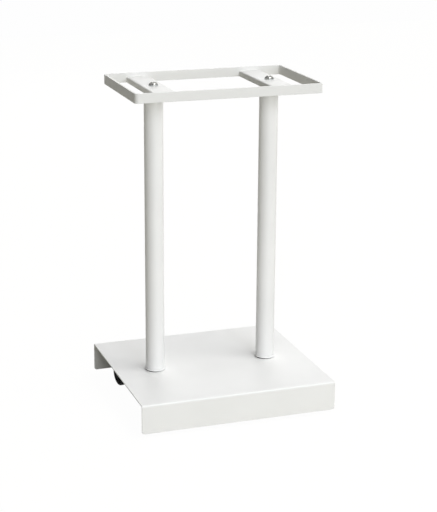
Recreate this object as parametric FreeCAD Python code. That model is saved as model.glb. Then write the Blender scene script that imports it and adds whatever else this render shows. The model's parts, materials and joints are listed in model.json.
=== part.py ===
"""Rolling two-post stand: folded steel base on four twin-wheel casters, two tube posts and an open
rectangular top frame.

Millimetres.  X runs along the long side, Y from front to rear, Z up.  The origin is on the floor at
the centre of the stand.  Each piece is written to parts/ as one STEP file.
"""
import FreeCAD, Part
import math
import os

# ---------------------------------------------------------------- driving sizes

# Base: one sheet folded down at the front and rear, open at both ends
base_length = 320.0
base_depth = 290.0
base_sheet = 2.0
skirt_height = 47.0
base_bend_radius = 3.0
skirt_corner_radius = 4.0

# Posts: two tubes standing on the depth centreline
post_spacing = 190.0
tube_diameter = 30.0
tube_wall = 1.5

# Plugs fixed in the tube ends, tapped for the post screws
plug_clearance = 0.05
foot_rim_height = 4.0
foot_rim_overhang = 1.5
foot_rim_rounding = 1.2
plug_length = 22.0
plug_chamfer = 1.0

# Top frame: flat bar on edge bent to a rectangle, crossed by two folded channels
frame_length = 300.0
frame_depth = 180.0
frame_height_above_base = 470.0
bar_height = 15.0
bar_thickness = 3.0
frame_corner_radius = 6.0
channel_width = 36.0
channel_height = 9.0
channel_sheet = 2.0
channel_bend_radius = 2.5

# Post screws and washers
screw_diameter = 8.0
thread_clearance = 0.03
screw_hole_clearance = 0.25
socket_across_flats = 5.0
socket_depth = 2.6
button_head_diameter = 14.0
button_head_height = 4.4
button_head_edge = 0.6
top_screw_length = 25.0
top_washer_diameter = 15.0
top_washer_thickness = 1.6
hex_across_flats = 13.0
hex_head_height = 5.3
bottom_screw_length = 20.0
bottom_washer_diameter = 24.0
bottom_washer_thickness = 2.0
washer_hole_clearance = 0.2

# Casters: how far each pivot stands in from the base's end and from its skirt, and how far each
# caster has swivelled at rest
caster_inset_x = 35.0
caster_inset_y = 49.0
caster_rest_turn = -82.0

# Caster plate, weld studs and nuts
caster_height = 51.0
plate_side = 38.0
plate_thickness = 2.0
plate_corner_radius = 5.0
stud_diameter = 4.0
stud_pitch = 28.0
stud_hole_clearance = 0.15
stud_tip_beyond_nut = 1.3
stud_tip_chamfer = 0.5
nut_across_flats = 7.0
nut_height = 3.2

# Kingpin, its thrust washer and its snap ring
kingpin_diameter = 7.0
kingpin_flange_diameter = 13.0
kingpin_flange_thickness = 1.5
kingpin_reach = 25.0
kingpin_tip_chamfer = 0.8
thrust_washer_thickness = 0.8
thrust_gap = 0.2
running_clearance = 0.05
snap_ring_height = 1.1
snap_ring_depth_in_pin = 0.5
snap_ring_stand_out = 0.6
snap_ring_opening = 3.0
snap_ring_play = 0.1
snap_ring_above_tip = 4.0

# Twin wheels and their axle
wheel_diameter = 40.0
wheel_width = 8.6
wheel_edge_radius = 2.0
wheel_trail = 16.0
wheel_side_gap = 0.4
wheel_hub_diameter = 13.0
wheel_rim_thickness = 3.5
wheel_outer_recess = 1.6
wheel_inner_recess = 3.0
axle_diameter = 5.0
axle_cap_thickness = 1.6
axle_end_play = 0.2
axle_groove_depth = 0.4
axle_groove_width = 1.0

# Caster body: web between the wheels, swivel boss and hood
web_thickness = 10.0
boss_diameter = 14.0
boss_front_wall = 3.0
boss_floor = 3.0
hood_gap = 0.8
hood_thickness = 2.0
hood_rear_angle = 25.0
hood_front_angle = 130.0
web_hub_radius = 8.0
body_edge_rounding = 0.8

# ---------------------------------------------------------------- heights that follow

base_underside = caster_height
base_top = base_underside + base_sheet
skirt_bottom = base_top - skirt_height
frame_top = base_top + frame_height_above_base
frame_bottom = frame_top - bar_height
channel_top = frame_bottom + channel_height
channel_underside = channel_top - channel_sheet
tube_bottom = base_top + foot_rim_height
tube_top = channel_underside
plate_underside = base_underside - plate_thickness
nut_underside = plate_underside - nut_height
flange_underside = plate_underside - kingpin_flange_thickness
thrust_washer_underside = flange_underside - thrust_washer_thickness
boss_top = thrust_washer_underside - thrust_gap
kingpin_tip = flange_underside - kingpin_reach
snap_ring_bottom = kingpin_tip + snap_ring_above_tip
snap_ring_top = snap_ring_bottom + snap_ring_height

tube_radius = tube_diameter / 2
plug_radius = tube_radius - tube_wall - plug_clearance
screw_radius = screw_diameter / 2
kingpin_radius = kingpin_diameter / 2
wheel_radius = wheel_diameter / 2
axle_radius = axle_diameter / 2
wheel_inner_face = web_thickness / 2 + wheel_side_gap
wheel_outer_face = wheel_inner_face + wheel_width
hood_inner_radius = wheel_radius + hood_gap
hood_outer_radius = hood_inner_radius + hood_thickness
snap_ring_inner = kingpin_radius - snap_ring_depth_in_pin
snap_ring_outer = kingpin_radius + snap_ring_stand_out

# ---------------------------------------------------------------- places that follow

caster_x = base_length / 2 - caster_inset_x
caster_y = base_depth / 2 - caster_inset_y

sides = (("left", -1), ("right", 1))
ends = (("front", -1), ("rear", 1))


# ---------------------------------------------------------------- building blocks

def point(x, y, z):
    return FreeCAD.Vector(x, y, z)


def box(x_range, y_range, z_range):
    corner = point(x_range[0], y_range[0], z_range[0])
    return Part.makeBox(x_range[1] - x_range[0], y_range[1] - y_range[0], z_range[1] - z_range[0], corner)


def centred_box(x_size, y_size, z_range):
    return box((-x_size / 2, x_size / 2), (-y_size / 2, y_size / 2), z_range)


def rod(radius, z_range, x=0.0, y=0.0):
    """Upright cylinder."""
    return Part.makeCylinder(radius, z_range[1] - z_range[0], point(x, y, z_range[0]))


def cross_rod(radius, y_range, x=0.0, z=0.0):
    """Cylinder lying along Y."""
    return Part.makeCylinder(radius, y_range[1] - y_range[0], point(x, y_range[0], z), point(0, 1, 0))


def washer(outer_radius, inner_radius, z_range):
    return rod(outer_radius, z_range).cut(rod(inner_radius, z_range))


def hexagon(across_flats, z_range):
    """Upright hexagonal prism."""
    corner_radius = across_flats / math.sqrt(3)
    corners = []
    for step in range(7):
        angle = math.radians(60 * step)
        corners.append(point(corner_radius * math.cos(angle), corner_radius * math.sin(angle), z_range[0]))
    return Part.Face(Part.makePolygon(corners)).extrude(point(0, 0, z_range[1] - z_range[0]))


def turned(profile):
    """Solid turned about Z from (radius, height) corners."""
    corners = [point(radius, 0, height) for radius, height in profile]
    face = Part.Face(Part.makePolygon(corners + corners[:1]))
    return face.revolve(point(0, 0, 0), point(0, 0, 1), 360)


def edges_where(shape, test):
    """Edges whose two ends both pass the test."""
    chosen = []
    for edge in shape.Edges:
        if len(edge.Vertexes) == 2 and all(test(vertex.Point) for vertex in edge.Vertexes):
            chosen.append(edge)
    return chosen


def near(value, target):
    return abs(value - target) < 0.001


def rounded_upright_edges(shape, radius):
    """Round every straight upright edge."""
    upright = []
    for edge in shape.Edges:
        first, last = edge.Vertexes[0].Point, edge.Vertexes[-1].Point
        if near(first.x, last.x) and near(first.y, last.y) and not near(first.z, last.z):
            upright.append(edge)
    return shape.makeFillet(radius, upright)


def folded_block(length, width, z_range, radius):
    """Block along X whose two long top edges are rounded."""
    block = centred_box(length, width, z_range)
    long_top = edges_where(block, lambda p: near(p.z, z_range[1]))
    long_top = [edge for edge in long_top if near(edge.Length, length)]
    return block.makeFillet(radius, long_top)


def folded_channel(length, width, height, sheet, bend_radius, top):
    """Sheet along X with its two long sides folded down."""
    outside = folded_block(length, width, (top - height, top), bend_radius)
    inside = folded_block(length, width - 2 * sheet, (top - height, top - sheet), bend_radius - sheet)
    return outside.cut(inside)


def at(shape, x, y):
    """Copy moved over the floor plan."""
    copy = shape.copy()
    copy.translate(point(x, y, 0))
    return copy


def one_solid(shape):
    """The shape merged, as its one solid."""
    solids = shape.removeSplitter().Solids
    if len(solids) != 1:
        raise ValueError("expected one solid, got %d" % len(solids))
    return solids[0]


def save(name, shape):
    shape.exportStep("parts/%s.step" % name)


# ---------------------------------------------------------------- stand

def post_places():
    return [(side, sign * post_spacing / 2) for side, sign in sides]


def caster_places():
    places = []
    for end, y_sign in ends:
        for side, x_sign in sides:
            name = "%s_%s" % (end, side)
            places.append((name, x_sign * caster_x, y_sign * caster_y))
    return places


def stud_places():
    """Plan positions of the weld studs of all casters."""
    places = []
    for _, x, y in caster_places():
        for x_sign in (-1, 1):
            for y_sign in (-1, 1):
                places.append((x + x_sign * stud_pitch / 2, y + y_sign * stud_pitch / 2))
    return places


def base_plate():
    plate = folded_channel(base_length, base_depth, skirt_height, base_sheet, base_bend_radius, base_top)
    low_corners = edges_where(plate, lambda p: near(p.z, skirt_bottom) and near(abs(p.x), base_length / 2))
    low_corners = [edge for edge in low_corners if near(edge.Length, base_sheet)]
    plate = plate.makeFillet(skirt_corner_radius, low_corners)
    for _, x in post_places():
        hole = rod(screw_radius + screw_hole_clearance, (base_underside, base_top), x)
        plate = plate.cut(hole)
    return one_solid(plate)


def post_tube():
    z_range = (tube_bottom, tube_top)
    return washer(tube_radius, tube_radius - tube_wall, z_range)


def tapped_bore(z_range):
    return rod(screw_radius + thread_clearance, z_range)


def foot_plug():
    """Plug in the lower tube end, with the rim that the tube stands on."""
    rim_radius = tube_radius + foot_rim_overhang
    rim = rod(rim_radius, (base_top, tube_bottom))
    rim_edge = [edge for edge in rim.Edges if near(edge.BoundBox.ZMin, tube_bottom)]
    rim = rim.makeFillet(min(foot_rim_rounding, foot_rim_overhang - plug_clearance), rim_edge)
    plug_top = tube_bottom + plug_length
    body = turned([(0, tube_bottom), (plug_radius, tube_bottom), (plug_radius, plug_top - plug_chamfer),
                   (plug_radius - plug_chamfer, plug_top), (0, plug_top)])
    return one_solid(rim.fuse(body).cut(tapped_bore((base_top, plug_top))))


def head_plug():
    """Plug in the upper tube end, flush with it."""
    plug_bottom = tube_top - plug_length
    body = turned([(0, plug_bottom), (plug_radius - plug_chamfer, plug_bottom),
                   (plug_radius, plug_bottom + plug_chamfer), (plug_radius, tube_top), (0, tube_top)])
    return one_solid(body.cut(tapped_bore((plug_bottom, tube_top))))


def top_ring():
    """Flat bar on edge, bent to a rectangle and butt welded."""
    z_range = (frame_bottom, frame_top)
    outside = rounded_upright_edges(centred_box(frame_length, frame_depth, z_range), frame_corner_radius)
    inner_length = frame_length - 2 * bar_thickness
    inner_depth = frame_depth - 2 * bar_thickness
    inside = centred_box(inner_length, inner_depth, z_range)
    inside = rounded_upright_edges(inside, frame_corner_radius - bar_thickness)
    return one_solid(outside.cut(inside))


def cross_channel():
    """Folded channel that spans the ring from front to rear over one post."""
    span = frame_depth - 2 * bar_thickness
    channel = folded_channel(span, channel_width, channel_height, channel_sheet,
                             channel_bend_radius, channel_top)
    channel.rotate(point(0, 0, 0), point(0, 0, 1), 90)
    hole = rod(screw_radius + screw_hole_clearance, (channel_underside, channel_top))
    return one_solid(channel.cut(hole))


def top_washer():
    z_range = (channel_top, channel_top + top_washer_thickness)
    return washer(top_washer_diameter / 2, screw_radius + washer_hole_clearance, z_range)


def top_screw():
    """Button-head screw with a hexagon socket."""
    seat = channel_top + top_washer_thickness
    crown = seat + button_head_height
    head_radius = button_head_diameter / 2
    dome_height = button_head_height - button_head_edge
    dome_radius = (head_radius ** 2 + dome_height ** 2) / (2 * dome_height)
    dome = Part.makeSphere(dome_radius, point(0, 0, crown - dome_radius))
    head = rod(head_radius, (seat, crown)).common(dome)
    socket = hexagon(socket_across_flats, (crown - socket_depth, crown))
    shank = rod(screw_radius, (seat - top_screw_length, seat))
    return one_solid(head.cut(socket).fuse(shank))


def bottom_washer():
    z_range = (base_underside - bottom_washer_thickness, base_underside)
    return washer(bottom_washer_diameter / 2, screw_radius + washer_hole_clearance, z_range)


def bottom_screw():
    """Hexagon-head screw driven up from under the base."""
    seat = base_underside - bottom_washer_thickness
    head = hexagon(hex_across_flats, (seat - hex_head_height, seat))
    shank = rod(screw_radius, (seat, seat + bottom_screw_length))
    return one_solid(head.fuse(shank))


# ---------------------------------------------------------------- casters

def caster_studs():
    """Studs welded to the underside of the base, four for each caster."""
    tip = nut_underside - stud_tip_beyond_nut
    radius = stud_diameter / 2
    stud = turned([(0, tip), (radius - stud_tip_chamfer, tip), (radius, tip + stud_tip_chamfer),
                   (radius, base_underside), (0, base_underside)])
    return Part.makeCompound([at(stud, x, y) for x, y in stud_places()])


def caster_nuts():
    z_range = (nut_underside, plate_underside)
    nut = hexagon(nut_across_flats, z_range).cut(rod(stud_diameter / 2 + thread_clearance, z_range))
    return Part.makeCompound([at(nut, x, y) for x, y in stud_places()])


def caster_plate():
    z_range = (plate_underside, base_underside)
    plate = rounded_upright_edges(centred_box(plate_side, plate_side, z_range), plate_corner_radius)
    plate = plate.cut(rod(kingpin_radius, z_range))
    for x_sign in (-1, 1):
        for y_sign in (-1, 1):
            hole = rod(stud_diameter / 2 + stud_hole_clearance, z_range,
                       x_sign * stud_pitch / 2, y_sign * stud_pitch / 2)
            plate = plate.cut(hole)
    return plate


def kingpin():
    """Pin riveted flush in the plate, with a flange below it and a groove for the snap ring."""
    flange_radius = kingpin_flange_diameter / 2
    return turned([
        (0, kingpin_tip), (kingpin_radius - kingpin_tip_chamfer, kingpin_tip),
        (kingpin_radius, kingpin_tip + kingpin_tip_chamfer),
        (kingpin_radius, snap_ring_bottom), (snap_ring_inner, snap_ring_bottom),
        (snap_ring_inner, snap_ring_top), (kingpin_radius, snap_ring_top),
        (kingpin_radius, flange_underside), (flange_radius, flange_underside),
        (flange_radius, plate_underside), (kingpin_radius, plate_underside),
        (kingpin_radius, base_underside), (0, base_underside)])


def thrust_washer():
    z_range = (thrust_washer_underside, flange_underside)
    return washer(kingpin_flange_diameter / 2, kingpin_radius + running_clearance, z_range)


def snap_ring():
    """Open ring in the groove of the kingpin."""
    z_range = (snap_ring_bottom, snap_ring_top)
    ring = washer(snap_ring_outer, snap_ring_inner, z_range)
    slot = box((-snap_ring_outer, 0), (-snap_ring_opening / 2, snap_ring_opening / 2), z_range)
    return ring.cut(slot)


def hood_sector(outer_radius, half_width):
    """Part of a disc about the axle, between the hood's front and rear ends."""
    sector = Part.makeCylinder(outer_radius, 2 * half_width, point(0, 0, -half_width), point(0, 0, 1),
                               hood_front_angle - hood_rear_angle)
    sector.rotate(point(0, 0, 0), point(0, 0, 1), hood_rear_angle)
    sector.rotate(point(0, 0, 0), point(1, 0, 0), 90)
    sector.translate(point(wheel_trail, 0, wheel_radius))
    return sector


def caster_body():
    """Moulded body: web between the wheels, boss for the kingpin and hood over the wheels."""
    half_web = web_thickness / 2
    across = (-half_web, half_web)
    front = -kingpin_radius - boss_front_wall
    boss_bottom = kingpin_tip - boss_floor
    boss = box((front, -front), across, (boss_bottom, hood_inner_radius + wheel_radius))
    boss_head = rod(boss_diameter / 2, (hood_inner_radius + wheel_radius, boss_top))
    hub = cross_rod(web_hub_radius, across, wheel_trail, wheel_radius)
    link = box((0, wheel_trail), across, (wheel_radius - web_hub_radius, wheel_radius + web_hub_radius))
    lower = boss.fuse([hub, link])
    hood = hood_sector(hood_outer_radius, wheel_outer_face)
    hood = hood.cut(cross_rod(hood_inner_radius, (-wheel_outer_face, wheel_outer_face),
                              wheel_trail, wheel_radius))
    web = hood_sector(hood_outer_radius, half_web)
    body = lower.fuse([web, hood, boss_head])
    bore = rod(kingpin_radius + running_clearance, (kingpin_tip - running_clearance, boss_top))
    ring_room = rod(snap_ring_outer + snap_ring_play,
                    (snap_ring_bottom - snap_ring_play, snap_ring_top + snap_ring_play))
    axle_hole = cross_rod(axle_radius, across, wheel_trail, wheel_radius)
    return one_solid(body.cut([bore, ring_room, axle_hole]))


def axle():
    """Pin pressed through the body, with a snap groove near each end."""
    reach = wheel_outer_face - axle_cap_thickness - axle_end_play
    pin = cross_rod(axle_radius, (-reach, reach), wheel_trail, wheel_radius)
    for sign in (-1, 1):
        centre = sign * (reach - 2 * axle_groove_width)
        y_range = (centre - axle_groove_width / 2, centre + axle_groove_width / 2)
        outer = cross_rod(axle_radius, y_range, wheel_trail, wheel_radius)
        core = cross_rod(axle_radius - axle_groove_depth, y_range, wheel_trail, wheel_radius)
        pin = pin.cut(outer.cut(core))
    return pin


def wheel(sign):
    """Wheel on one side of the body; its hub is closed outside and snaps into the axle groove."""
    rim_inner = wheel_radius - wheel_rim_thickness
    hub_radius = wheel_hub_diameter / 2
    bore_radius = axle_radius + running_clearance
    bore_end = wheel_width - axle_cap_thickness
    blank = rod(wheel_radius, (0, wheel_width))
    tread_edges = [edge for edge in blank.Edges if len(edge.Vertexes) == 1]
    blank = blank.makeFillet(wheel_edge_radius, tread_edges)
    inner = washer(rim_inner, hub_radius, (0, wheel_inner_recess))
    outer = washer(rim_inner, hub_radius, (wheel_width - wheel_outer_recess, wheel_width))
    bore = rod(bore_radius, (0, bore_end))
    shape = blank.cut([inner, outer, bore])
    reach = bore_end - axle_end_play
    bead_centre = reach - 2 * axle_groove_width
    bead_half = axle_groove_width / 2 - running_clearance
    bead = washer(bore_radius + running_clearance, axle_radius - axle_groove_depth + running_clearance,
                  (bead_centre - bead_half, bead_centre + bead_half))
    shape = one_solid(shape.fuse(bead))
    shape.rotate(point(0, 0, 0), point(1, 0, 0), -90 * sign)
    shape.translate(point(wheel_trail, sign * wheel_inner_face, wheel_radius))
    return shape


def on_caster(shape, x, y):
    """Copy turned to the caster's rest angle and moved to its pivot."""
    copy = shape.copy()
    copy.rotate(point(0, 0, 0), point(0, 0, 1), caster_rest_turn)
    return at(copy, x, y)


# ---------------------------------------------------------------- assembly

def main():
    os.makedirs("parts", exist_ok=True)
    save("base_plate", base_plate())
    save("top_ring", top_ring())
    post_pieces = (("post_tube", post_tube()), ("foot_plug", foot_plug()), ("head_plug", head_plug()),
                   ("cross_channel", cross_channel()), ("top_washer", top_washer()),
                   ("top_screw", top_screw()), ("bottom_washer", bottom_washer()),
                   ("bottom_screw", bottom_screw()))
    for side, x in post_places():
        for name, shape in post_pieces:
            save("%s_%s" % (side, name), at(shape, x, 0))
    save("caster_studs", caster_studs())
    save("caster_nuts", caster_nuts())
    fixed_pieces = (("plate", caster_plate()), ("kingpin", kingpin()), ("thrust_washer", thrust_washer()),
                    ("snap_ring", snap_ring()))
    turning_pieces = (("body", caster_body()), ("axle", axle()), ("left_wheel", wheel(-1)),
                      ("right_wheel", wheel(1)))
    for place, x, y in caster_places():
        for name, shape in fixed_pieces:
            save("%s_caster_%s" % (place, name), at(shape, x, y))
        for name, shape in turning_pieces:
            save("%s_caster_%s" % (place, name), on_caster(shape, x, y))


main()
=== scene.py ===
"""Looks of the rolling two-post stand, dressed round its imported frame.

Lengths are metres: mm() turns millimetres to metres. The floor is z = 0, X runs along the long
side and Y from front to rear.
"""
import json
import math

import bmesh
import bpy
from mathutils import Matrix, Vector


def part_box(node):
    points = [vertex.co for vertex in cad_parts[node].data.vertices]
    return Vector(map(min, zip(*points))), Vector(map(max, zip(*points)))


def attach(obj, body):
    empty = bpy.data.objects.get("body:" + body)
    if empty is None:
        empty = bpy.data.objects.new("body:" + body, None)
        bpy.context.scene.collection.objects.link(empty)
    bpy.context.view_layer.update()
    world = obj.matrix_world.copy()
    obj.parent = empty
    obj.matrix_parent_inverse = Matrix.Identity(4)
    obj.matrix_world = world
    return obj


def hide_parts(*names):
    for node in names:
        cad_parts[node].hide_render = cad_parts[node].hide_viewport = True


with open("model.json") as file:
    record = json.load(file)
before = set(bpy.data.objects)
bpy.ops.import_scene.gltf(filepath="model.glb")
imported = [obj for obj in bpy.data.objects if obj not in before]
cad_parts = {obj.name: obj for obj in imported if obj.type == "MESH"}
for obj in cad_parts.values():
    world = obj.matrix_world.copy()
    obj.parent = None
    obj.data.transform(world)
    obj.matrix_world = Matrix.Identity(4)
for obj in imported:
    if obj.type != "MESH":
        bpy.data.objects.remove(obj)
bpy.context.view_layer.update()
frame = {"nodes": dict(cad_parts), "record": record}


def mm(length):
    return length / 1000


# ---------------------------------------------------------------- sizes that belong to the looks

same_point = mm(0.002)              # points closer than this are merged
sharp_angle = math.radians(30)      # smooth shading stops at sharper edges
arc_steps = 4                       # to each rounded corner of a turned outline
fine_turns = 96                     # points round the pieces seen closest

deburred_edge = mm(0.35)            # sheet and bar edges, broken and thickened by the coat
base_edge = mm(0.8)                 # the base's edges, where Blender clamps the bevel to less
moulded_edge = mm(0.6)              # nylon edges
stamped_edge = mm(0.25)             # edges of zinc-plated stampings
stamped_back = mm(0.1)              # and those of the washers' undersides
drilled_edge = mm(0.4)              # mouths of the foot plug's bore

bar_thickness = mm(3)
frame_corner_radius = mm(6)
frame_corner_steps = 10
tube_wall = mm(1.5)
tube_corner_steps = 32              # to each quarter of a post
bar_edge_steps = 3
channel_sheet = mm(2)

base_top = mm(53)                   # height that the posts stand on
foot_shade_height = mm(130)               # painted shade darkens the posts this far up from there

plug_clearance = mm(0.05)
plug_end_rounding = mm(1)
rim_inset = mm(0.1)                 # the coated rim, inside the CAD's
rim_rounding = mm(1.0)
seat_groove = mm(1.5)               # height of the relief round the foot of each post
seat_inset = mm(1.0)                # and its depth under the rim
groove_widest = math.radians(195)   # it is highest on the left, a little to the front,
groove_least = 0.06                 # and on the far side it is this share of that height

screw_radius = mm(4)
bore_clearance = mm(0.03)
washer_clearance = mm(0.2)
screw_pitch = mm(1.25)
rows_per_turn = 6.0                 # of points, along a thread
button_edge_height = mm(0.6)
dome_steps = 12
dome_power = 3                      # 2 would be a parabola; 3 flattens the crown
dome_edge_bevel = mm(0.06)
socket_across_flats = mm(5)
socket_countersink = mm(0.9)
socket_depth = mm(2.6)
socket_taper = mm(0.04)
drill_tip = mm(0.4), mm(0.7)        # radius and depth of the point under the socket
hex_across_flats = mm(13)
hex_face_share = 0.95               # of the flats, inside the head's chamfer
hex_dish = mm(0.25)                 # depth of the dish in the head
washer_face = mm(0.4)               # height of the round face under the head
chamfer_slope = math.tan(math.radians(30))

bead_radius = mm(1.5)
bead_end = mm(1)                    # the weld stops this short of the channel's lower edge
bead_flatness = 0.55                # of each ripple, along the weld
ripple_spacing = mm(0.9)
smallest_ripple = 0.86
weld_seed, stud_seed, nut_seed = 3, 11, 5

stud_pitch = mm(28)                 # between the studs of one caster
stud_radius = mm(2)
stud_thread_pitch = mm(0.7)
nut_across_flats = mm(7)
nut_face_share = 0.96
nut_bevel = mm(0.3)                 # at the mouths of the bore

wheel_radius = mm(20)
wheel_width = mm(8.6)
wheel_edge_radius = mm(2)
wheel_crown = mm(0.15)              # the tread is this much higher in the middle
wheel_crown_rounding = mm(8)
wheel_hub_radius = mm(6.5)
wheel_rim_radius = mm(16.5)         # inside of the rim
wheel_lip = mm(0.6), mm(0.9)        # width of the step cut into the rim, at its foot and its top
wheel_lip_depth = mm(0.5)           # and that of the dish in the hub's cap
wheel_outer_recess = mm(1.6)
wheel_inner_recess = mm(3)
wheel_bore_radius = mm(2.55)
wheel_cap_thickness = mm(1.6)
wheel_cap_dish = mm(3.4), mm(3.6)   # radius of that dish, at its floor and its brim
wheel_cap_middle = mm(1)            # radius of the face that closes the dish
wheel_tread_depth = mm(1)           # depth below the tread that wears
wheel_ribs = 10
rib_thickness = mm(1.2)
rib_rounding = mm(0.3)
rib_overlap = mm(0.3), mm(0.1)      # into the hub and the rim at each end, and into the floor

floor_half = 4.0
floor_whiteness = 0.94              # share of its own light where the floor is seen
floor_glow = 1.04
world_seen, world_light = 0.99, 0.106
lamp_aim = Vector((0, 0, mm(250)))

sides = ("left", "right")
places = ("front_left", "front_right", "rear_left", "rear_right")


# ---------------------------------------------------------------- colours and nodes

def linear(hex_colour):
    """sRGB hex to the linear RGBA that Blender's sockets take."""
    channels = []
    for start in (1, 3, 5):
        level = int(hex_colour[start:start + 2], 16) / 255
        channels.append(level / 12.92 if level <= 0.04045 else ((level + 0.055) / 1.055) ** 2.4)
    return (*channels, 1.0)


def add_node(tree, kind, settings=None, inputs=None):
    """Add a node. Settings name its properties; an input is a value, or a socket to link from."""
    node = tree.nodes.new(kind)
    for name, value in (settings or {}).items():
        setattr(node, name, value)
    for name, value in (inputs or {}).items():
        if isinstance(value, bpy.types.NodeSocket):
            tree.links.new(value, node.inputs[name])
        else:
            node.inputs[name].default_value = value
    return node


def empty_tree(owner):
    """The cleared node tree of a material or a world."""
    owner.use_nodes = True
    owner.node_tree.nodes.clear()
    return owner.node_tree


def new_material(name):
    """A material with one Principled shader; gives the material, its tree, shader and position."""
    material = bpy.data.materials.new(name)
    tree = empty_tree(material)
    shader = add_node(tree, "ShaderNodeBsdfPrincipled")
    add_node(tree, "ShaderNodeOutputMaterial", inputs={"Surface": shader.outputs["BSDF"]})
    position = add_node(tree, "ShaderNodeTexCoord").outputs["Object"]
    return material, tree, shader, position


def grain(tree, position, spacing, detail=2.0, stretch=(1, 1, 1), turn=(0, 0, 0)):
    """Noise whose lumps lie about one spacing apart; stretch lengthens them along an axis."""
    squeezed = add_node(tree, "ShaderNodeMapping", inputs={
        "Vector": position, "Rotation": turn, "Scale": tuple(1 / (spacing * s) for s in stretch)})
    noise = add_node(tree, "ShaderNodeTexNoise", inputs={
        "Vector": squeezed.outputs["Vector"], "Scale": 1.0, "Detail": detail})
    return noise.outputs["Fac"]


def lay(tree, shader, tint, colours, gloss, roughness, *bumps,
        tint_at=(0.3, 0.7), gloss_at=(0.3, 0.7)):
    """Wire patterns to the shader: a tint between two sRGB hex colours, a gloss between two
    roughnesses, and bumps, each a pattern and its depth, the later ones on top.

    The pairs with _at say where in the pattern the first and the second are reached.
    """
    share = add_node(tree, "ShaderNodeMapRange", inputs={
        "Value": tint, "From Min": tint_at[0], "From Max": tint_at[1]})
    # Inputs 6 and 7 and output 2 are the node's colours, next to those for numbers and vectors
    colour = add_node(tree, "ShaderNodeMix", {"data_type": "RGBA"}, {
        "Factor": share.outputs["Result"], 6: linear(colours[0]), 7: linear(colours[1])})
    dullness = add_node(tree, "ShaderNodeMapRange", inputs={
        "Value": gloss, "From Min": gloss_at[0], "From Max": gloss_at[1],
        "To Min": roughness[0], "To Max": roughness[1]})
    sockets = {"Base Color": colour.outputs[2], "Roughness": dullness.outputs["Result"]}
    for pattern, depth in bumps:
        inputs = {"Height": pattern, "Distance": depth, "Strength": 1.0}
        if "Normal" in sockets:
            inputs["Normal"] = sockets["Normal"]
        sockets["Normal"] = add_node(tree, "ShaderNodeBump", inputs=inputs).outputs["Normal"]
    for name, output in sockets.items():
        tree.links.new(output, shader.inputs[name])


# ---------------------------------------------------------------- materials

def powder_coat(name, darker, lighter, sheen, foot=None):
    """Polyester powder coat baked on steel: satin, slightly warm white, with a faint orange peel.

    Upright pieces are painted darker towards a foot at that height: painted shade, against the
    light that the base throws up onto them.
    """
    material, tree, shader, position = new_material(name)
    drift = grain(tree, position, mm(90))
    gloss = grain(tree, position, mm(25))
    # Orange peel is about 2 mm from lump to lump; it is drawn at 3 mm to show at all
    peel = grain(tree, position, mm(3.0), detail=1.0)
    specks = grain(tree, position, mm(0.9), detail=0.0)
    lightness = add_node(tree, "ShaderNodeMapRange", inputs={
        "Value": drift, "From Min": 0.3, "From Max": 0.7, "To Min": 0.8}).outputs["Result"]
    # Painted shade: the colour darkens towards the foot of upright pieces
    if foot is not None:
        height = add_node(tree, "ShaderNodeSeparateXYZ", inputs={"Vector": position})
        painted_foot_shade = add_node(tree, "ShaderNodeMapRange", inputs={
            "Value": height.outputs["Z"], "From Min": foot, "From Max": foot + foot_shade_height,
            "To Min": 0.55})
        lightness = add_node(tree, "ShaderNodeMath", {"operation": "MULTIPLY"},
                             {0: lightness, 1: painted_foot_shade.outputs["Result"]}).outputs["Value"]
    lay(tree, shader, lightness, (darker, lighter), gloss, (0.42, 0.5),
        (peel, mm(0.03)), (specks, mm(0.004)), tint_at=(0, 1))
    shader.inputs["IOR"].default_value = 1.5
    shader.inputs["Specular IOR Level"].default_value = sheen
    return material


def zinc_plate():
    """Bright zinc plate on pressed steel: pale blue-grey, clouded where the passivation ran."""
    material, tree, shader, position = new_material("zinc_plate")
    clouds = grain(tree, position, mm(7), detail=4.0)
    scratches = grain(tree, position, mm(0.8), stretch=(1, 9, 1), turn=(0, 0, 0.7))
    lay(tree, shader, clouds, ("#aeb4ba", "#c6c6c0"), clouds, (0.26, 0.42),
        (scratches, mm(0.01)))
    shader.inputs["Metallic"].default_value = 1.0
    return material


def tumbled_zinc_plate():
    """Zinc plate on cold-headed screws, tumbled in bulk: glossy grey with tumbling marks, whose
    dark tone, far darker than zinc, is painted shade.

    It is duller where it is seen at a glance.
    """
    material, tree, shader, position = new_material("tumbled_zinc_plate")
    # Tumbling leaves marks of about 0.3 mm; they are drawn at 1.4 mm to show at all
    tumble_marks_and_shade = grain(tree, position, mm(1.4), detail=3.0)
    # The darker colour is painted shade: the dark surroundings that real heads reflect, drawn into
    # the tint
    lay(tree, shader, tumble_marks_and_shade, ("#40403f", "#a6a6a2"), tumble_marks_and_shade, (0.12, 0.3),
        (tumble_marks_and_shade, mm(0.06)), tint_at=(0.34, 0.64))
    shader.inputs["Metallic"].default_value = 1.0
    shader.inputs["Specular Tint"].default_value = linear("#8a8a88")
    return material


def drawn_steel():
    """Bright drawn steel pins, with fine rings left by turning."""
    material, tree, shader, position = new_material("bright_drawn_steel")
    rings = grain(tree, position, mm(0.35), detail=1.0, stretch=(30, 30, 1))
    lay(tree, shader, rings, ("#9d9d9c", "#b4b4b2"), rings, (0.2, 0.34), (rings, mm(0.01)))
    shader.inputs["Metallic"].default_value = 1.0
    return material


def gap_shade_material():
    """Near-black dull surface, blotched, that stands as painted shade in the gap under each foot's
    rim.
    """
    material, tree, shader, position = new_material("bare_dark_steel")
    blotches = grain(tree, position, mm(1.5))
    lay(tree, shader, blotches, ("#1c1b1a", "#302e2b"), blotches, (0.5, 0.7))
    return material


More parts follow.
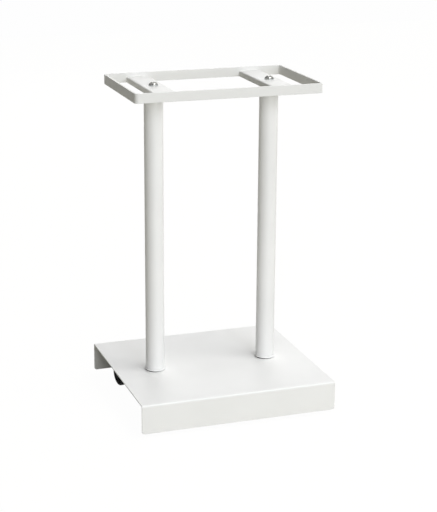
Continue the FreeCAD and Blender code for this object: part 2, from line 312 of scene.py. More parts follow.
def moulded_nylon():
    """Glass-filled nylon from a spark-eroded mould: near black, dull, with a fine even grain."""
    material, tree, shader, position = new_material("moulded_black_nylon")
    # The mould's grain is about 0.15 mm; it is drawn at 0.5 mm to show at all
    texture = grain(tree, position, mm(0.5))
    flow = grain(tree, position, mm(14), stretch=(1, 3, 1))
    lay(tree, shader, flow, ("#101011", "#171718"), flow, (0.42, 0.55), (texture, mm(0.03)))
    shader.inputs["IOR"].default_value = 1.53
    shader.inputs["Specular IOR Level"].default_value = 0.3
    return material


def wheel_nylon():
    """Hard black wheel nylon: smooth on the faces, scuffed and dusty round the tread."""
    material, tree, shader, position = new_material("black_wheel_nylon")
    tread = add_node(tree, "ShaderNodeAttribute", {"attribute_name": "tread"}).outputs["Fac"]
    scuffs = grain(tree, position, mm(1.6), detail=5.0)
    scuffed = add_node(tree, "ShaderNodeMapRange", inputs={
        "Value": scuffs, "From Min": 0.45, "From Max": 0.75}).outputs["Result"]
    worn = add_node(tree, "ShaderNodeMath", {"operation": "MULTIPLY"},
                    {0: tread, 1: scuffed}).outputs["Value"]
    lay(tree, shader, worn, ("#030303", "#0c0b0b"), worn, (0.38, 0.66),
        (scuffs, mm(0.015)), tint_at=(0, 1), gloss_at=(0, 1))
    shader.inputs["IOR"].default_value = 1.53
    shader.inputs["Specular IOR Level"].default_value = 0.03
    return material


coat = powder_coat("white_powder_coat", "#e3e3e0", "#f4f4f2", sheen=0.35)
# A darker copy of the coat: painted shade, as the top frame gets less light than the base
frame_coat = powder_coat("white_powder_coat_top_frame", "#dcdcda", "#ebebe8", sheen=0.15)
# The posts' coat is painted darker towards their foot, as painted shade
post_coat = powder_coat("white_powder_coat_posts", "#dadad8", "#f6f6f4", sheen=0.6, foot=base_top)
# Near-black painted shade for the gaps under the feet's rims
painted_gap_shade = gap_shade_material()
zinc = zinc_plate()
screw_zinc = tumbled_zinc_plate()
pin_steel = drawn_steel()
nylon = moulded_nylon()
wheel_black = wheel_nylon()


# ---------------------------------------------------------------- mesh building

def outward(mesh):
    """Merge doubles and turn every face outwards."""
    work = bmesh.new()
    work.from_mesh(mesh)
    bmesh.ops.remove_doubles(work, verts=work.verts, dist=same_point)
    bmesh.ops.recalc_face_normals(work, faces=work.faces)
    work.to_mesh(mesh)
    work.free()


def shaded(mesh):
    """Smooth shading that stops at sharp edges."""
    mesh.polygons.foreach_set("use_smooth", [True] * len(mesh.polygons))
    mesh.set_sharp_from_angle(angle=sharp_angle)


def mesh_of(work, name):
    """A new mesh from a bmesh, which is given up."""
    mesh = bpy.data.meshes.new(name)
    work.to_mesh(mesh)
    work.free()
    return mesh


def cover(mesh, material):
    """Make that the mesh's one material."""
    mesh.materials.clear()
    mesh.materials.append(material)


def new_object(name, data):
    item = bpy.data.objects.new(name, data)
    bpy.context.scene.collection.objects.link(item)
    return item


def new_piece(name, mesh, material):
    mesh.name = name
    cover(mesh, material)
    return new_object(name, mesh)


def applied(piece):
    """Turn the piece's modifiers to plain mesh."""
    graph = bpy.context.evaluated_depsgraph_get()
    mesh = bpy.data.meshes.new_from_object(piece.evaluated_get(graph))
    piece.modifiers.clear()
    piece.data = mesh


def finish_piece(piece, body, slot, *nodes):
    """Even the shading, so that flats stay flat beside rounded edges, and hand the piece over.

    It rides on its body and stands for the CAD nodes, which it hides; the slot is not used.
    """
    normals = piece.modifiers.new("normals", "WEIGHTED_NORMAL")
    normals.keep_sharp = True
    applied(piece)
    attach(piece, body)
    if nodes:
        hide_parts(*nodes)


def baked(piece):
    """Turn the piece's modifiers to plain mesh in its one material."""
    material = piece.data.materials[0]
    applied(piece)
    mesh = piece.data
    mesh.polygons.foreach_set("material_index", [0] * len(mesh.polygons))
    cover(mesh, material)
    outward(mesh)
    shaded(mesh)


def softened(corners, closed):
    """Points of an outline whose corners (x, y, rounding) are rounded to arcs."""
    outline = []
    for index, (x, y, rounding) in enumerate(corners):
        at_end = not closed and index in (0, len(corners) - 1)
        if rounding == 0 or at_end:
            outline.append((x, y))
            continue
        here = Vector((x, y))
        back = (Vector(corners[index - 1][:2]) - here).normalized()
        on = (Vector(corners[(index + 1) % len(corners)][:2]) - here).normalized()
        half = back.angle(on) / 2
        middle = here + (back + on).normalized() * rounding / math.sin(half)
        first = (here + back * rounding / math.tan(half) - middle).normalized()
        last = (here + on * rounding / math.tan(half) - middle).normalized()
        for step in range(arc_steps + 1):
            outline.append(tuple(middle + first.slerp(last, step / arc_steps) * rounding))
    return outline


def ring(radius, height, turns=48):
    """Points round Z; radius and height are numbers, or functions of the angle."""
    points = []
    for step in range(turns):
        angle = math.tau * step / turns
        out = radius(angle) if callable(radius) else radius
        up = height(angle) if callable(height) else height
        points.append((out * math.cos(angle), out * math.sin(angle), up))
    return points


def skinned(name, rings, closed):
    """Mesh through rings of points, the last joined to the first or both ends capped."""
    work = bmesh.new()
    rows = [[work.verts.new(point) for point in points] for points in rings]
    pairs = list(zip(rows, rows[1:]))
    if closed:
        pairs.append((rows[-1], rows[0]))
    else:
        work.faces.new(rows[0])
        work.faces.new(rows[-1])
    for low, high in pairs:
        for here in range(len(low)):
            after = (here + 1) % len(low)
            work.faces.new((low[here], low[after], high[after], high[here]))
    mesh = mesh_of(work, name)
    outward(mesh)
    shaded(mesh)
    return mesh


def turned(name, corners, closed=True, turns=64):
    """Mesh turned about Z from (radius, height, rounding) corners."""
    outline = softened(corners, closed)
    return skinned(name, [ring(radius, height, turns) for radius, height in outline], closed)


def hexagonal(across_flats):
    """Radius of a hexagon as a function of the angle, with its first corner at 0."""
    def radius_at(angle):
        return across_flats / 2 / math.cos(angle % math.radians(60) - math.radians(30))
    return radius_at


def merged_copy(node_name):
    """A CAD piece's mesh with its triangles joined up to flat faces."""
    work = bmesh.new()
    work.from_mesh(frame["nodes"][node_name].data)
    bmesh.ops.remove_doubles(work, verts=work.verts, dist=same_point)
    bmesh.ops.dissolve_limit(work, angle_limit=math.radians(0.5), verts=work.verts,
                             edges=work.edges)
    mesh = mesh_of(work, node_name)
    for left_over in ("custom_normal", "sharp_edge", "sharp_face"):
        if left_over in mesh.attributes:
            mesh.attributes.remove(mesh.attributes[left_over])
    return mesh


def rounded_copy(name, node_name, material, rounding, segments=2):
    """A CAD piece with its sharp edges rounded."""
    piece = new_piece(name, merged_copy(node_name), material)
    edges = piece.modifiers.new("edges", "BEVEL")
    edges.width = rounding
    edges.segments = segments
    edges.limit_method = "ANGLE"
    edges.angle_limit = math.radians(35)
    baked(piece)
    return piece


# ---------------------------------------------------------------- Geometry Nodes

def new_tree(name, **inputs):
    """A Geometry Nodes tree with named inputs; gives the tree and the sockets of its inputs."""
    tree = bpy.data.node_groups.new(name, "GeometryNodeTree")
    tree.interface.new_socket("Geometry", in_out="OUTPUT", socket_type="NodeSocketGeometry")
    tree.interface.new_socket("Geometry", in_out="INPUT", socket_type="NodeSocketGeometry")
    for label, kind in inputs.items():
        tree.interface.new_socket(label.replace("_", " "), in_out="INPUT",
                                  socket_type="NodeSocket" + kind)
    return tree, add_node(tree, "NodeGroupInput").outputs


def end_tree(tree, geometry, material):
    """Close the tree: real mesh, one material, output."""
    real = add_node(tree, "GeometryNodeRealizeInstances", inputs={"Geometry": geometry})
    coated = add_node(tree, "GeometryNodeSetMaterial", inputs={
        "Geometry": real.outputs["Geometry"], "Material": material})
    add_node(tree, "NodeGroupOutput", inputs={"Geometry": coated.outputs["Geometry"]})
    return tree


def grown(name, tree, material, base=None, **values):
    """A piece made by the tree from the base mesh and the values of the tree's named inputs."""
    piece = new_piece(name, base or bpy.data.meshes.new(name), material)
    modifier = piece.modifiers.new("shape", "NODES")
    modifier.node_group = tree
    values["Material"] = material
    for item in tree.interface.items_tree:
        label = item.name.replace(" ", "_")
        if item.in_out == "INPUT" and label in values:
            modifier[item.identifier] = values[label]
    baked(piece)
    return piece


def bent_bar_tree():
    """Bar bent to a closed rectangle with round corners; with full corners it is a tube."""
    tree, given = new_tree("bent_bar", Length="Float", Depth="Float", Corner_Radius="Float",
                           Corner_Steps="Int", Bar_Thickness="Float", Bar_Height="Float",
                           Edge_Rounding="Float", Middle="Vector", Material="Material")
    path = add_node(tree, "GeometryNodeCurvePrimitiveQuadrilateral", inputs={
        "Width": given["Length"], "Height": given["Depth"]})
    path = add_node(tree, "GeometryNodeFilletCurve", {"mode": "POLY"}, {
        "Curve": path.outputs["Curve"], "Radius": given["Corner Radius"],
        "Count": given["Corner Steps"]})
    section = add_node(tree, "GeometryNodeCurvePrimitiveQuadrilateral", inputs={
        "Width": given["Bar Thickness"], "Height": given["Bar Height"]})
    section = add_node(tree, "GeometryNodeFilletCurve", {"mode": "POLY"}, {
        "Curve": section.outputs["Curve"], "Radius": given["Edge Rounding"],
        "Count": bar_edge_steps})
    bar = add_node(tree, "GeometryNodeCurveToMesh", inputs={
        "Curve": path.outputs["Curve"], "Profile Curve": section.outputs["Curve"]})
    bar = add_node(tree, "GeometryNodeMergeByDistance", inputs={
        "Geometry": bar.outputs["Mesh"], "Distance": mm(0.005)})
    bar = add_node(tree, "GeometryNodeTransform", inputs={
        "Geometry": bar.outputs["Geometry"], "Translation": given["Middle"]})
    return end_tree(tree, bar.outputs["Geometry"], given["Material"])


def threaded_rod_tree():
    """Threaded rod that stands on the origin, with its lower end chamfered."""
    tree, given = new_tree("threaded_rod", Radius="Float", Length="Float", Pitch="Float",
                           Thread_Depth="Float", Chamfer="Float", Sides="Int", Material="Material")
    turns = add_node(tree, "ShaderNodeMath", {"operation": "DIVIDE"},
                     {0: given["Length"], 1: given["Pitch"]})
    rows = add_node(tree, "ShaderNodeMath", {"operation": "MULTIPLY"},
                    {0: turns.outputs[0], 1: rows_per_turn})
    blank = add_node(tree, "GeometryNodeMeshCylinder", inputs={
        "Vertices": given["Sides"], "Side Segments": rows.outputs[0], "Radius": given["Radius"],
        "Depth": given["Length"]})
    place = add_node(tree, "GeometryNodeInputPosition")
    part = add_node(tree, "ShaderNodeSeparateXYZ", inputs={"Vector": place.outputs["Position"]})
    angle = add_node(tree, "ShaderNodeMath", {"operation": "ARCTAN2"},
                     {0: part.outputs["Y"], 1: part.outputs["X"]})
    share = add_node(tree, "ShaderNodeMath", {"operation": "DIVIDE"},
                     {0: angle.outputs[0], 1: math.tau})
    climb = add_node(tree, "ShaderNodeMath", {"operation": "DIVIDE"},
                     {0: part.outputs["Z"], 1: given["Pitch"]})
    phase = add_node(tree, "ShaderNodeMath", {"operation": "SUBTRACT"},
                     {0: climb.outputs[0], 1: share.outputs[0]})
    # The wave rises to a half and falls back once a turn, so twice it is the depth of the cut
    wave = add_node(tree, "ShaderNodeMath", {"operation": "PINGPONG"},
                    {0: phase.outputs[0], 1: 0.5})
    cut = add_node(tree, "ShaderNodeMath", {"operation": "MULTIPLY"},
                   {0: wave.outputs[0], 1: given["Thread Depth"]})
    crest = add_node(tree, "ShaderNodeMath", {"operation": "MULTIPLY_ADD"},
                     {0: cut.outputs[0], 1: -2.0, 2: given["Radius"]})
    half = add_node(tree, "ShaderNodeMath", {"operation": "MULTIPLY"},
                    {0: given["Length"], 1: 0.5})
    above = add_node(tree, "ShaderNodeMath", {"operation": "ADD"},
                     {0: part.outputs["Z"], 1: half.outputs[0]})
    tip = add_node(tree, "ShaderNodeMath", {"operation": "SUBTRACT"},
                   {0: given["Radius"], 1: given["Chamfer"]})
    nose = add_node(tree, "ShaderNodeMath", {"operation": "ADD"},
                    {0: tip.outputs[0], 1: above.outputs[0]})
    limit = add_node(tree, "ShaderNodeMath", {"operation": "MINIMUM"},
                     {0: crest.outputs[0], 1: nose.outputs[0]})
    scale = add_node(tree, "ShaderNodeMath", {"operation": "DIVIDE"},
                     {0: limit.outputs[0], 1: given["Radius"]})
    flat = add_node(tree, "ShaderNodeCombineXYZ", inputs={
        "X": scale.outputs[0], "Y": scale.outputs[0], "Z": 1.0})
    moved = add_node(tree, "ShaderNodeVectorMath", {"operation": "MULTIPLY"},
                     {0: place.outputs["Position"], 1: flat.outputs["Vector"]})
    rod = add_node(tree, "GeometryNodeSetPosition", inputs={
        "Geometry": blank.outputs["Mesh"], "Position": moved.outputs["Vector"]})
    lift = add_node(tree, "ShaderNodeCombineXYZ", inputs={"Z": half.outputs[0]})
    rod = add_node(tree, "GeometryNodeTransform", inputs={
        "Geometry": rod.outputs["Geometry"], "Translation": lift.outputs["Vector"]})
    return end_tree(tree, rod.outputs["Geometry"], given["Material"])


def set_out_tree():
    """One copy of a shape on each point of the base mesh, each turned about Z by chance."""
    tree, given = new_tree("set_out", Shape="Object", Seed="Int", Material="Material")
    shape = add_node(tree, "GeometryNodeObjectInfo", inputs={"Object": given["Shape"]})
    # Inputs 2 and 3 are the least and the greatest number, output 1 the number by chance
    chance = add_node(tree, "FunctionNodeRandomValue", inputs={3: math.tau, "Seed": given["Seed"]})
    turn = add_node(tree, "ShaderNodeCombineXYZ", inputs={"Z": chance.outputs[1]})
    copies = add_node(tree, "GeometryNodeInstanceOnPoints", inputs={
        "Points": given["Geometry"], "Instance": shape.outputs["Geometry"],
        "Rotation": turn.outputs["Vector"]})
    return end_tree(tree, copies.outputs["Instances"], given["Material"])


def spokes_tree():
    """The base mesh with ribs added, evenly round Z."""
    tree, given = new_tree("spokes", Rib="Object", Count="Int", Radius="Float", Height="Float",
                           Material="Material")
    places = add_node(tree, "GeometryNodeMeshCircle", inputs={
        "Vertices": given["Count"], "Radius": given["Radius"]})
    rib = add_node(tree, "GeometryNodeObjectInfo", inputs={"Object": given["Rib"]})
    number = add_node(tree, "GeometryNodeInputIndex")
    share = add_node(tree, "ShaderNodeMath", {"operation": "DIVIDE"},
                     {0: number.outputs["Index"], 1: given["Count"]})
    angle = add_node(tree, "ShaderNodeMath", {"operation": "MULTIPLY"},
                     {0: share.outputs[0], 1: math.tau})
    turn = add_node(tree, "ShaderNodeCombineXYZ", inputs={"Z": angle.outputs[0]})
    copies = add_node(tree, "GeometryNodeInstanceOnPoints", inputs={
        "Points": places.outputs["Mesh"], "Instance": rib.outputs["Geometry"],
        "Rotation": turn.outputs["Vector"]})
    lift = add_node(tree, "ShaderNodeCombineXYZ", inputs={"Z": given["Height"]})
    ribs = add_node(tree, "GeometryNodeTransform", inputs={
        "Geometry": copies.outputs["Instances"], "Translation": lift.outputs["Vector"]})
    joined = add_node(tree, "GeometryNodeJoinGeometry", inputs={"Geometry": given["Geometry"]})
    tree.links.new(ribs.outputs["Geometry"], joined.inputs["Geometry"])
    return end_tree(tree, joined.outputs["Geometry"], given["Material"])


def weld_bead_tree():
    """Overlapping ripples of weld along the edges of the base mesh, none quite like the next."""
    tree, given = new_tree("weld_bead", Ripple="Object", Spacing="Float", Seed="Int",
                           Material="Material")
    line = add_node(tree, "GeometryNodeMeshToCurve", inputs={"Mesh": given["Geometry"]})
    points = add_node(tree, "GeometryNodeResampleCurve", {"mode": "LENGTH"}, {
        "Curve": line.outputs["Curve"], "Length": given["Spacing"]})
    tangent = add_node(tree, "GeometryNodeInputTangent")
    along = add_node(tree, "FunctionNodeAlignRotationToVector", {"axis": "X"},
                     {"Vector": tangent.outputs["Tangent"]})
    ripple = add_node(tree, "GeometryNodeObjectInfo", inputs={"Object": given["Ripple"]})
    chance = add_node(tree, "FunctionNodeRandomValue", inputs={
        2: smallest_ripple, 3: 1.0, "Seed": given["Seed"]})
    copies = add_node(tree, "GeometryNodeInstanceOnPoints", inputs={
        "Points": points.outputs["Curve"], "Instance": ripple.outputs["Geometry"],
        "Rotation": along.outputs["Rotation"], "Scale": chance.outputs[1]})
    return end_tree(tree, copies.outputs["Instances"], given["Material"])


# ---------------------------------------------------------------- pieces

def span(node):
    """Lowest corner, highest corner and middle of a CAD node."""
    low, high = (Vector(corner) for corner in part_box(node))
    return low, high, (low + high) / 2


def moved(piece, offset):
    piece.data.transform(Matrix.Translation(offset))
    return piece


def joined(piece, *others):
    """The piece with the other pieces' meshes added to its own."""
    work = bmesh.new()
    for part in (piece, *others):
        work.from_mesh(part.data)
    work.to_mesh(piece.data)
    work.free()
    for part in others:
        bpy.data.objects.remove(part)
    shaded(piece.data)
    return piece


def folded_base():
    """The base sheet, its cut edges and holes deburred before the coat."""
    piece = rounded_copy("folded_base", "base_plate", coat, base_edge, segments=3)
    finish_piece(piece, "stand", "white_powder_coat", "base_plate")


def bent_ring(bar_tree):
    low, high, middle = span("top_ring")
    size = high - low
    piece = grown("bent_ring", bar_tree, frame_coat,
                  Length=size.x - bar_thickness, Depth=size.y - bar_thickness,
                  Corner_Radius=frame_corner_radius - bar_thickness / 2,
                  Corner_Steps=frame_corner_steps, Bar_Thickness=bar_thickness, Bar_Height=size.z,
                  Edge_Rounding=deburred_edge, Middle=middle)
    finish_piece(piece, "stand", "white_powder_coat", "top_ring")


def post(side, bar_tree):
    """Post tube: the bar tree with its corners as large as they can be."""
    node = side + "_post_tube"
    low, high, middle = span(node)
    width = high.x - low.x - tube_wall
    piece = grown(side + "_post", bar_tree, post_coat, Length=width, Depth=width,
                  Corner_Radius=width / 2, Corner_Steps=tube_corner_steps, Bar_Thickness=tube_wall,
                  Bar_Height=high.z - low.z, Edge_Rounding=deburred_edge, Middle=middle)
    finish_piece(piece, "stand", "white_powder_coat", node)


def foot(side):
    """Foot plug: the rim under the tube and the plug inside it.

    The rim is relieved next to the base, most on its left, and the seat there is painted near
    black, as painted shade in the gap.
    """
    node = side + "_foot_plug"
    low, high, middle = span(node)
    tube_low, tube_high, _ = span(side + "_post_tube")
    rim_radius = (high.x - low.x) / 2 - rim_inset
    seat_radius = rim_radius - seat_inset
    plug_radius = (tube_high.x - tube_low.x) / 2 - tube_wall - plug_clearance
    bore = screw_radius + bore_clearance
    rim = tube_low.z - low.z
    height = high.z - low.z
    mesh = turned(node, [
        (bore, 0, drilled_edge), (seat_radius, 0, 0), (seat_radius, seat_groove, mm(0.2)),
        (rim_radius, seat_groove + mm(0.1), mm(0.3)), (rim_radius, rim, rim_rounding),
        (plug_radius, rim, 0), (plug_radius, height, plug_end_rounding),
        (bore, height, drilled_edge)], turns=fine_turns)
    for vertex in mesh.vertices:
        if mm(0.1) < vertex.co.z < seat_groove + mm(0.5):
            across = math.cos(math.atan2(vertex.co.y, vertex.co.x) - groove_widest)
            vertex.co.z *= (1 + groove_least) / 2 + (1 - groove_least) / 2 * across
    piece = moved(new_piece(side + "_foot", mesh, post_coat), (middle.x, middle.y, low.z))
    # Faces under the rim take the near-black painted shade
    mesh.materials.append(painted_gap_shade)
    for face in mesh.polygons:
        out = math.hypot(face.center.x - middle.x, face.center.y - middle.y)
        under_rim = seat_radius - mm(0.3) < out < rim_radius - mm(0.4)
        if under_rim and face.center.z < low.z + seat_groove:
            face.material_index = 1
    finish_piece(piece, "stand", "white_powder_coat", node)


def channel(side):
    node = side + "_cross_channel"
    piece = rounded_copy(side + "_channel", node, frame_coat, deburred_edge)
    finish_piece(piece, "stand", "white_powder_coat", node)


def flat_washer(name, node):
    """Stamped washer: its upper edges rolled over by the punch."""
    low, high, middle = span(node)
    outer, height = (high.x - low.x) / 2, high.z - low.z
    inner = screw_radius + washer_clearance
    mesh = turned(name, [(inner, 0, stamped_back), (outer, 0, stamped_back),
                         (outer, height, stamped_edge), (inner, height, stamped_edge)])
    piece = moved(new_piece(name, mesh, zinc), (middle.x, middle.y, low.z))
    finish_piece(piece, "stand", "zinc_plated_steel", node)


def threaded_shank(rod_tree, material, length):
    return grown("shank", rod_tree, material, Radius=screw_radius, Length=length, Pitch=screw_pitch,
                 Thread_Depth=mm(0.6), Chamfer=mm(0.8), Sides=32)


def button_screw(side, rod_tree):
    """Button-head screw: a dome, flatter on its crown, with a countersunk hexagon socket."""
    node = side + "_top_screw"
    low, high, middle = span(node)
    seat = span(side + "_top_washer")[1].z
    head_radius = (high.x - low.x) / 2
    dome_height = high.z - seat - button_edge_height

    def on_dome(radius):
        return high.z - dome_height * (radius / head_radius) ** dome_power

    socket = hexagonal(socket_across_flats)
    mouth = socket_across_flats / 2 + socket_countersink
    dome_radius = head_radius - dome_edge_bevel
    rings = [ring(screw_radius, seat), ring(head_radius - stamped_edge, seat),
             ring(head_radius, seat + stamped_edge),
             ring(head_radius, seat + button_edge_height - mm(0.1))]
    for step in range(dome_steps + 1):
        radius = dome_radius + (mouth - dome_radius) * step / dome_steps
        rings.append(ring(radius, on_dome(radius)))
    rings.append(ring(socket, lambda angle: on_dome(mouth) - (mouth - socket(angle))))
    floor = high.z - socket_depth
    rings.append(ring(lambda angle: socket(angle) - socket_taper, floor))
    tip_radius, tip_depth = drill_tip
    rings.append(ring(tip_radius, floor - tip_depth))
    head = new_piece(side + "_button_screw", skinned(node, rings, closed=False), screw_zinc)
    shank = moved(threaded_shank(rod_tree, screw_zinc, seat - low.z), (0, 0, low.z))
    piece = moved(joined(head, shank), (middle.x, middle.y, 0))
    finish_piece(piece, "stand", "zinc_plated_steel", node)


def hexagon_screw(side, rod_tree):
    """Hexagon-head screw driven up from below: chamfered, dished head with a washer face."""
    node = side + "_bottom_screw"
    low, high, middle = span(node)
    seat = span(side + "_bottom_washer")[0].z
    hexagon = hexagonal(hex_across_flats)
    face = hex_across_flats / 2 * hex_face_share
    rings = [ring(face - mm(1.6), low.z + hex_dish), ring(face - mm(1.1), low.z),
             ring(face, low.z),
             ring(hexagon, lambda angle: low.z + (hexagon(angle) - face) * chamfer_slope),
             ring(hexagon, seat - washer_face), ring(face, seat - washer_face),
             ring(face, seat), ring(screw_radius, seat)]
    head = new_piece(side + "_hexagon_screw", skinned(node, rings, closed=False), zinc)
    shank = threaded_shank(rod_tree, zinc, high.z - seat)
    shank.data.transform(Matrix.Rotation(math.pi, 4, "X"))
    piece = moved(joined(head, moved(shank, (0, 0, high.z))), (middle.x, middle.y, 0))
    finish_piece(piece, "stand", "zinc_plated_steel", node)


def weld_beads(side, bead_tree):
    """Weld in the inside corners between a channel's ends and the ring, seen from below."""
    low, high, middle = span(side + "_cross_channel")
    x_in = (high.x - low.x) / 2 - channel_sheet
    top = high.z - channel_sheet
    line = bmesh.new()
    bottom = low.z + bead_end
    for y in (low.y, high.y):
        path = [(-x_in, bottom), (-x_in, top), (x_in, top), (x_in, bottom)]
        corners = [line.verts.new((middle.x + x, y, z)) for x, z in path]
        for first, second in zip(corners, corners[1:]):
            line.edges.new((first, second))
    drop = bmesh.new()
    bmesh.ops.create_icosphere(drop, subdivisions=2, radius=bead_radius)
    bmesh.ops.scale(drop, verts=drop.verts, vec=(bead_flatness, 1, 1))
    ripple = new_piece("ripple", mesh_of(drop, "ripple"), frame_coat)
    piece = grown(side + "_welds", bead_tree, frame_coat, mesh_of(line, "weld_line"),
                  Ripple=ripple, Spacing=ripple_spacing, Seed=weld_seed + sides.index(side))
    bpy.data.objects.remove(ripple)
    finish_piece(piece, "stand", "white_powder_coat")


def stud_points(height):
    """Mesh with a point at each stud, at that height."""
    points = []
    for place in places:
        middle = span(place + "_caster_plate")[2]
        for x in (-stud_pitch / 2, stud_pitch / 2):
            for y in (-stud_pitch / 2, stud_pitch / 2):
                points.append((middle.x + x, middle.y + y, height))
    mesh = bpy.data.meshes.new("stud_points")
    mesh.from_pydata(points, [], [])
    return mesh


def studs(rod_tree, set_out):
    low, high, _ = span("caster_studs")
    stud = grown("stud", rod_tree, zinc, Radius=stud_radius, Length=high.z - low.z,
                 Pitch=stud_thread_pitch, Thread_Depth=mm(0.35), Chamfer=mm(0.5), Sides=20)
    piece = grown("weld_studs", set_out, zinc, stud_points(low.z), Shape=stud, Seed=stud_seed)
    bpy.data.objects.remove(stud)
    finish_piece(piece, "stand", "zinc_plated_steel", "caster_studs")


def nuts(set_out):
    """Hexagon nuts chamfered on both faces."""
    low, high, _ = span("caster_nuts")
    height = high.z - low.z
    hexagon = hexagonal(nut_across_flats)
    face = nut_across_flats / 2 * nut_face_share
    bore = stud_radius + bore_clearance
    rings = [ring(bore, nut_bevel), ring(bore + nut_bevel, 0), ring(face, 0),
             ring(hexagon, lambda angle: (hexagon(angle) - face) * chamfer_slope),
             ring(hexagon, lambda angle: height - (hexagon(angle) - face) * chamfer_slope),
             ring(face, height), ring(bore + nut_bevel, height), ring(bore, height - nut_bevel)]
    nut = new_piece("nut", skinned("nut", rings, closed=True), zinc)
    piece = grown("hexagon_nuts", set_out, zinc, stud_points(low.z), Shape=nut, Seed=nut_seed)
    bpy.data.objects.remove(nut)
    finish_piece(piece, "stand", "zinc_plated_steel", "caster_nuts")


def mounting_plate(place):
    node = place + "_caster_plate"
    piece = rounded_copy(place + "_mounting_plate", node, zinc, stamped_edge)
    finish_piece(piece, "stand", "zinc_plated_steel", node)


def caster_hood(place):
    """Moulded body: boss, web and hood, with the mould's rounded edges."""
    node = place + "_caster_body"
    piece = rounded_copy(place + "_hood", node, nylon, moulded_edge, segments=3)
    finish_piece(piece, place + "_caster", "black_nylon", node)


def wheel_blank():
    """Wheel turned about Z, its inner face at the origin, with a slightly crowned tread."""
    top, edge = wheel_width, wheel_radius - wheel_crown
    hub, rim, bore = wheel_hub_radius, wheel_rim_radius, wheel_bore_radius
    floor, step = top - wheel_outer_recess, top - wheel_lip_depth
    lip_foot, lip_top = wheel_lip
    dish_floor, dish_brim = wheel_cap_dish
    return turned("wheel", [
        (bore, top - wheel_cap_thickness, 0), (bore, 0, mm(0.3)), (hub, 0, mm(0.4)),
        (hub, wheel_inner_recess, mm(0.4)), (rim, wheel_inner_recess, mm(0.5)),
        (rim, 0, mm(0.5)), (edge, 0, wheel_edge_radius),
        (wheel_radius, top / 2, wheel_crown_rounding), (edge, top, wheel_edge_radius),
        (rim + lip_top, top, mm(0.3)), (rim + lip_foot, step, mm(0.3)),
        (rim, step, mm(0.3)), (rim, floor, mm(0.5)), (hub, floor, mm(0.5)),
        (hub, top - mm(0.3), mm(0.6)), (dish_brim, top - mm(0.05), mm(0.4)),
        (dish_floor, step, mm(0.2)), (wheel_cap_middle, step, 0)], closed=False, turns=fine_turns)


def wheel_rib():
    """One rib of the outer recess, lying along X from the hub to the rim."""
    end_overlap, floor_overlap = rib_overlap
    length = wheel_rim_radius - wheel_hub_radius + 2 * end_overlap
    height = wheel_outer_recess - mm(0.3)
    work = bmesh.new()
    bmesh.ops.create_cube(work, size=1)
    bmesh.ops.scale(work, verts=work.verts, vec=(length, rib_thickness, height))
    bmesh.ops.translate(work, verts=work.verts, vec=(0, 0, height / 2 - floor_overlap))
    bmesh.ops.bevel(work, geom=list(work.edges), offset=rib_rounding, segments=3,
                    affect="EDGES", profile=0.5)
    return new_piece("rib", mesh_of(work, "rib"), wheel_black)


def wheel(place, side, spokes):
    """Wheel on one side of its caster, its closed hub facing outwards."""
    node = "%s_caster_%s_wheel" % (place, side)
    middle = span(node)[2]
    outward_axis = (middle - span(place + "_caster_axle")[2]).normalized()
    rib = wheel_rib()
    piece = grown("%s_%s_ribbed_wheel" % (place, side), spokes, wheel_black, wheel_blank(), Rib=rib,
                  Count=wheel_ribs, Radius=(wheel_hub_radius + wheel_rim_radius) / 2,
                  Height=wheel_width - wheel_outer_recess)
    bpy.data.objects.remove(rib)
    tread = piece.data.attributes.new("tread", "FLOAT", "POINT")
    for vertex, item in zip(piece.data.vertices, tread.data):
        on_tread = vertex.co.to_2d().length > wheel_radius - wheel_tread_depth
        item.value = 1.0 if on_tread else 0.0
    turn = outward_axis.to_track_quat("Z", "Y").to_matrix().to_4x4()
    piece.data.transform(Matrix.Translation(middle - outward_axis * wheel_width / 2) @ turn)
    finish_piece(piece, "%s_%s_wheel" % (place, side), "black_wheel_nylon", node)


def dress_cad_nodes():
    """Finish the CAD nodes by their slots. Head plugs, pins, rings and axles stay as they are."""
    by_slot = {"white_powder_coat": coat, "zinc_plated_steel": zinc, "bright_steel": pin_steel,
               "black_nylon": nylon, "black_wheel_nylon": wheel_black}
    for item in frame["record"]["subparts"]:
        cover(frame["nodes"][item["node"]].data, by_slot[item["material_slot"]])


# ---------------------------------------------------------------- stage

def seen(tree):
    """1 where the camera, a mirror or a clear piece looks, 0 for light that only falls."""
    path = add_node(tree, "ShaderNodeLightPath")
    direct = add_node(tree, "ShaderNodeMath", {"operation": "MAXIMUM"},
                      {0: path.outputs["Is Camera Ray"], 1: path.outputs["Is Glossy Ray"]})
    return add_node(tree, "ShaderNodeMath", {"operation": "MAXIMUM"}, {
        0: direct.outputs["Value"], 1: path.outputs["Is Transmission Ray"]}).outputs["Value"]


def plain_floor():
    """White floor that shows as the white background and keeps a faint shadow."""
    material = bpy.data.materials.new("white_floor")
    tree = empty_tree(material)
    share = add_node(tree, "ShaderNodeMath", {"operation": "MULTIPLY"},
                     {0: seen(tree), 1: floor_whiteness})
    diffuse = add_node(tree, "ShaderNodeBsdfDiffuse", inputs={"Color": linear("#bcb9a8")})
    glow = add_node(tree, "ShaderNodeEmission", inputs={
        "Color": linear("#ffffff"), "Strength": floor_glow})
    mixed = add_node(tree, "ShaderNodeMixShader", inputs={
        0: share.outputs["Value"], 1: diffuse.outputs["BSDF"], 2: glow.outputs["Emission"]})
    add_node(tree, "ShaderNodeOutputMaterial", inputs={"Surface": mixed.outputs["Shader"]})
    mesh = bpy.data.meshes.new("floor")
    corners = [(x * floor_half, y * floor_half, 0) for x, y in ((-1, -1), (1, -1), (1, 1), (-1, 1))]
    mesh.from_pydata(corners, [], [(0, 1, 2, 3)])
    new_piece("floor", mesh, material)


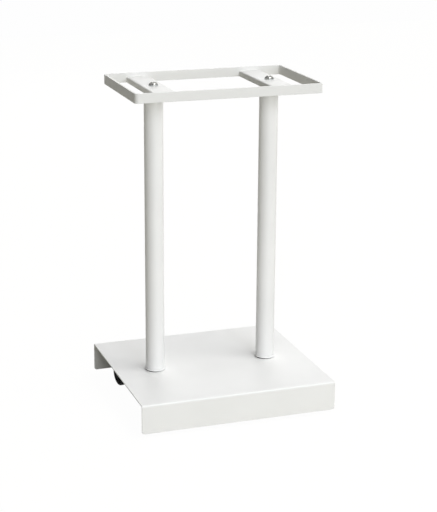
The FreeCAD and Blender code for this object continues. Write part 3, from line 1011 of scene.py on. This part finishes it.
def white_world():
    """White where it is seen or mirrored, and a low even light elsewhere."""
    world = bpy.data.worlds.new("studio")
    tree = empty_tree(world)
    strength = add_node(tree, "ShaderNodeMapRange", inputs={
        "Value": seen(tree), "To Min": world_light, "To Max": world_seen})
    glow = add_node(tree, "ShaderNodeBackground", inputs={
        "Color": linear("#ffffff"), "Strength": strength.outputs["Result"]})
    add_node(tree, "ShaderNodeOutputWorld", inputs={"Surface": glow.outputs["Background"]})
    bpy.context.scene.world = world


def area_light(name, azimuth, elevation, distance, size, power, colour="#ffffff"):
    """Square soft box aimed at the stand's middle. Azimuth 0 is in front, 90 on the right."""
    turn, lift = math.radians(azimuth), math.radians(elevation)
    away = Vector((math.sin(turn) * math.cos(lift), -math.cos(turn) * math.cos(lift),
                   math.sin(lift)))
    lamp = bpy.data.lights.new(name, "AREA")
    lamp.size = size
    lamp.energy = power
    lamp.color = linear(colour)[:3]
    holder = new_object(name, lamp)
    holder.location = lamp_aim + away * distance
    holder.rotation_euler = away.to_track_quat("Z", "Y").to_euler()


def lights():
    """Soft boxes: a key high on the front right, two lower fills in front and two behind."""
    area_light("key", 45, 70, 6.0, 2.4, 168)
    area_light("front_fill", 0, 20, 7.0, 3.0, 180, "#f8faff")
    area_light("low_fill", 10, 8, 7.0, 2.0, 115, "#f8faff")
    area_light("right_rear", 120, 45, 6.0, 5.2, 108)
    area_light("rear", 165, 20, 3.0, 1.2, 7.4)


def camera():
    """Long lens, a little above the stand, from the front left."""
    yaw, pitch, roll = (math.radians(angle) for angle in (19.305, 16.858, -0.368))
    turn = (Matrix.Rotation(-yaw, 4, "Z") @ Matrix.Rotation(math.pi / 2 - pitch, 4, "X")
            @ Matrix.Rotation(-roll, 4, "Z"))
    aim = Vector((mm(12.7), 0, mm(234.0)))
    distance = mm(2359.6)
    lens = bpy.data.cameras.new("camera")
    lens.lens = 102.92
    lens.sensor_width = 36
    lens.clip_start = 0.1
    holder = new_object("camera", lens)
    back = turn @ Vector((0, 0, 1, 0))
    holder.matrix_world = Matrix.Translation(aim + back.to_3d() * distance) @ turn
    bpy.context.scene.camera = holder


dress_cad_nodes()
bent_bar = bent_bar_tree()
threaded_rod = threaded_rod_tree()
set_out = set_out_tree()
spokes = spokes_tree()
weld_bead = weld_bead_tree()

folded_base()
bent_ring(bent_bar)
for side in sides:
    post(side, bent_bar)
    foot(side)
    channel(side)
    flat_washer(side + "_screw_washer", side + "_top_washer")
    button_screw(side, threaded_rod)
    flat_washer(side + "_wide_washer", side + "_bottom_washer")
    hexagon_screw(side, threaded_rod)
    weld_beads(side, weld_bead)
studs(threaded_rod, set_out)
nuts(set_out)
for place in places:
    mounting_plate(place)
    caster_hood(place)
    for side in sides:
        wheel(place, side, spokes)

plain_floor()
white_world()
lights()
camera()

bpy.context.scene.view_settings.view_transform = "Standard"
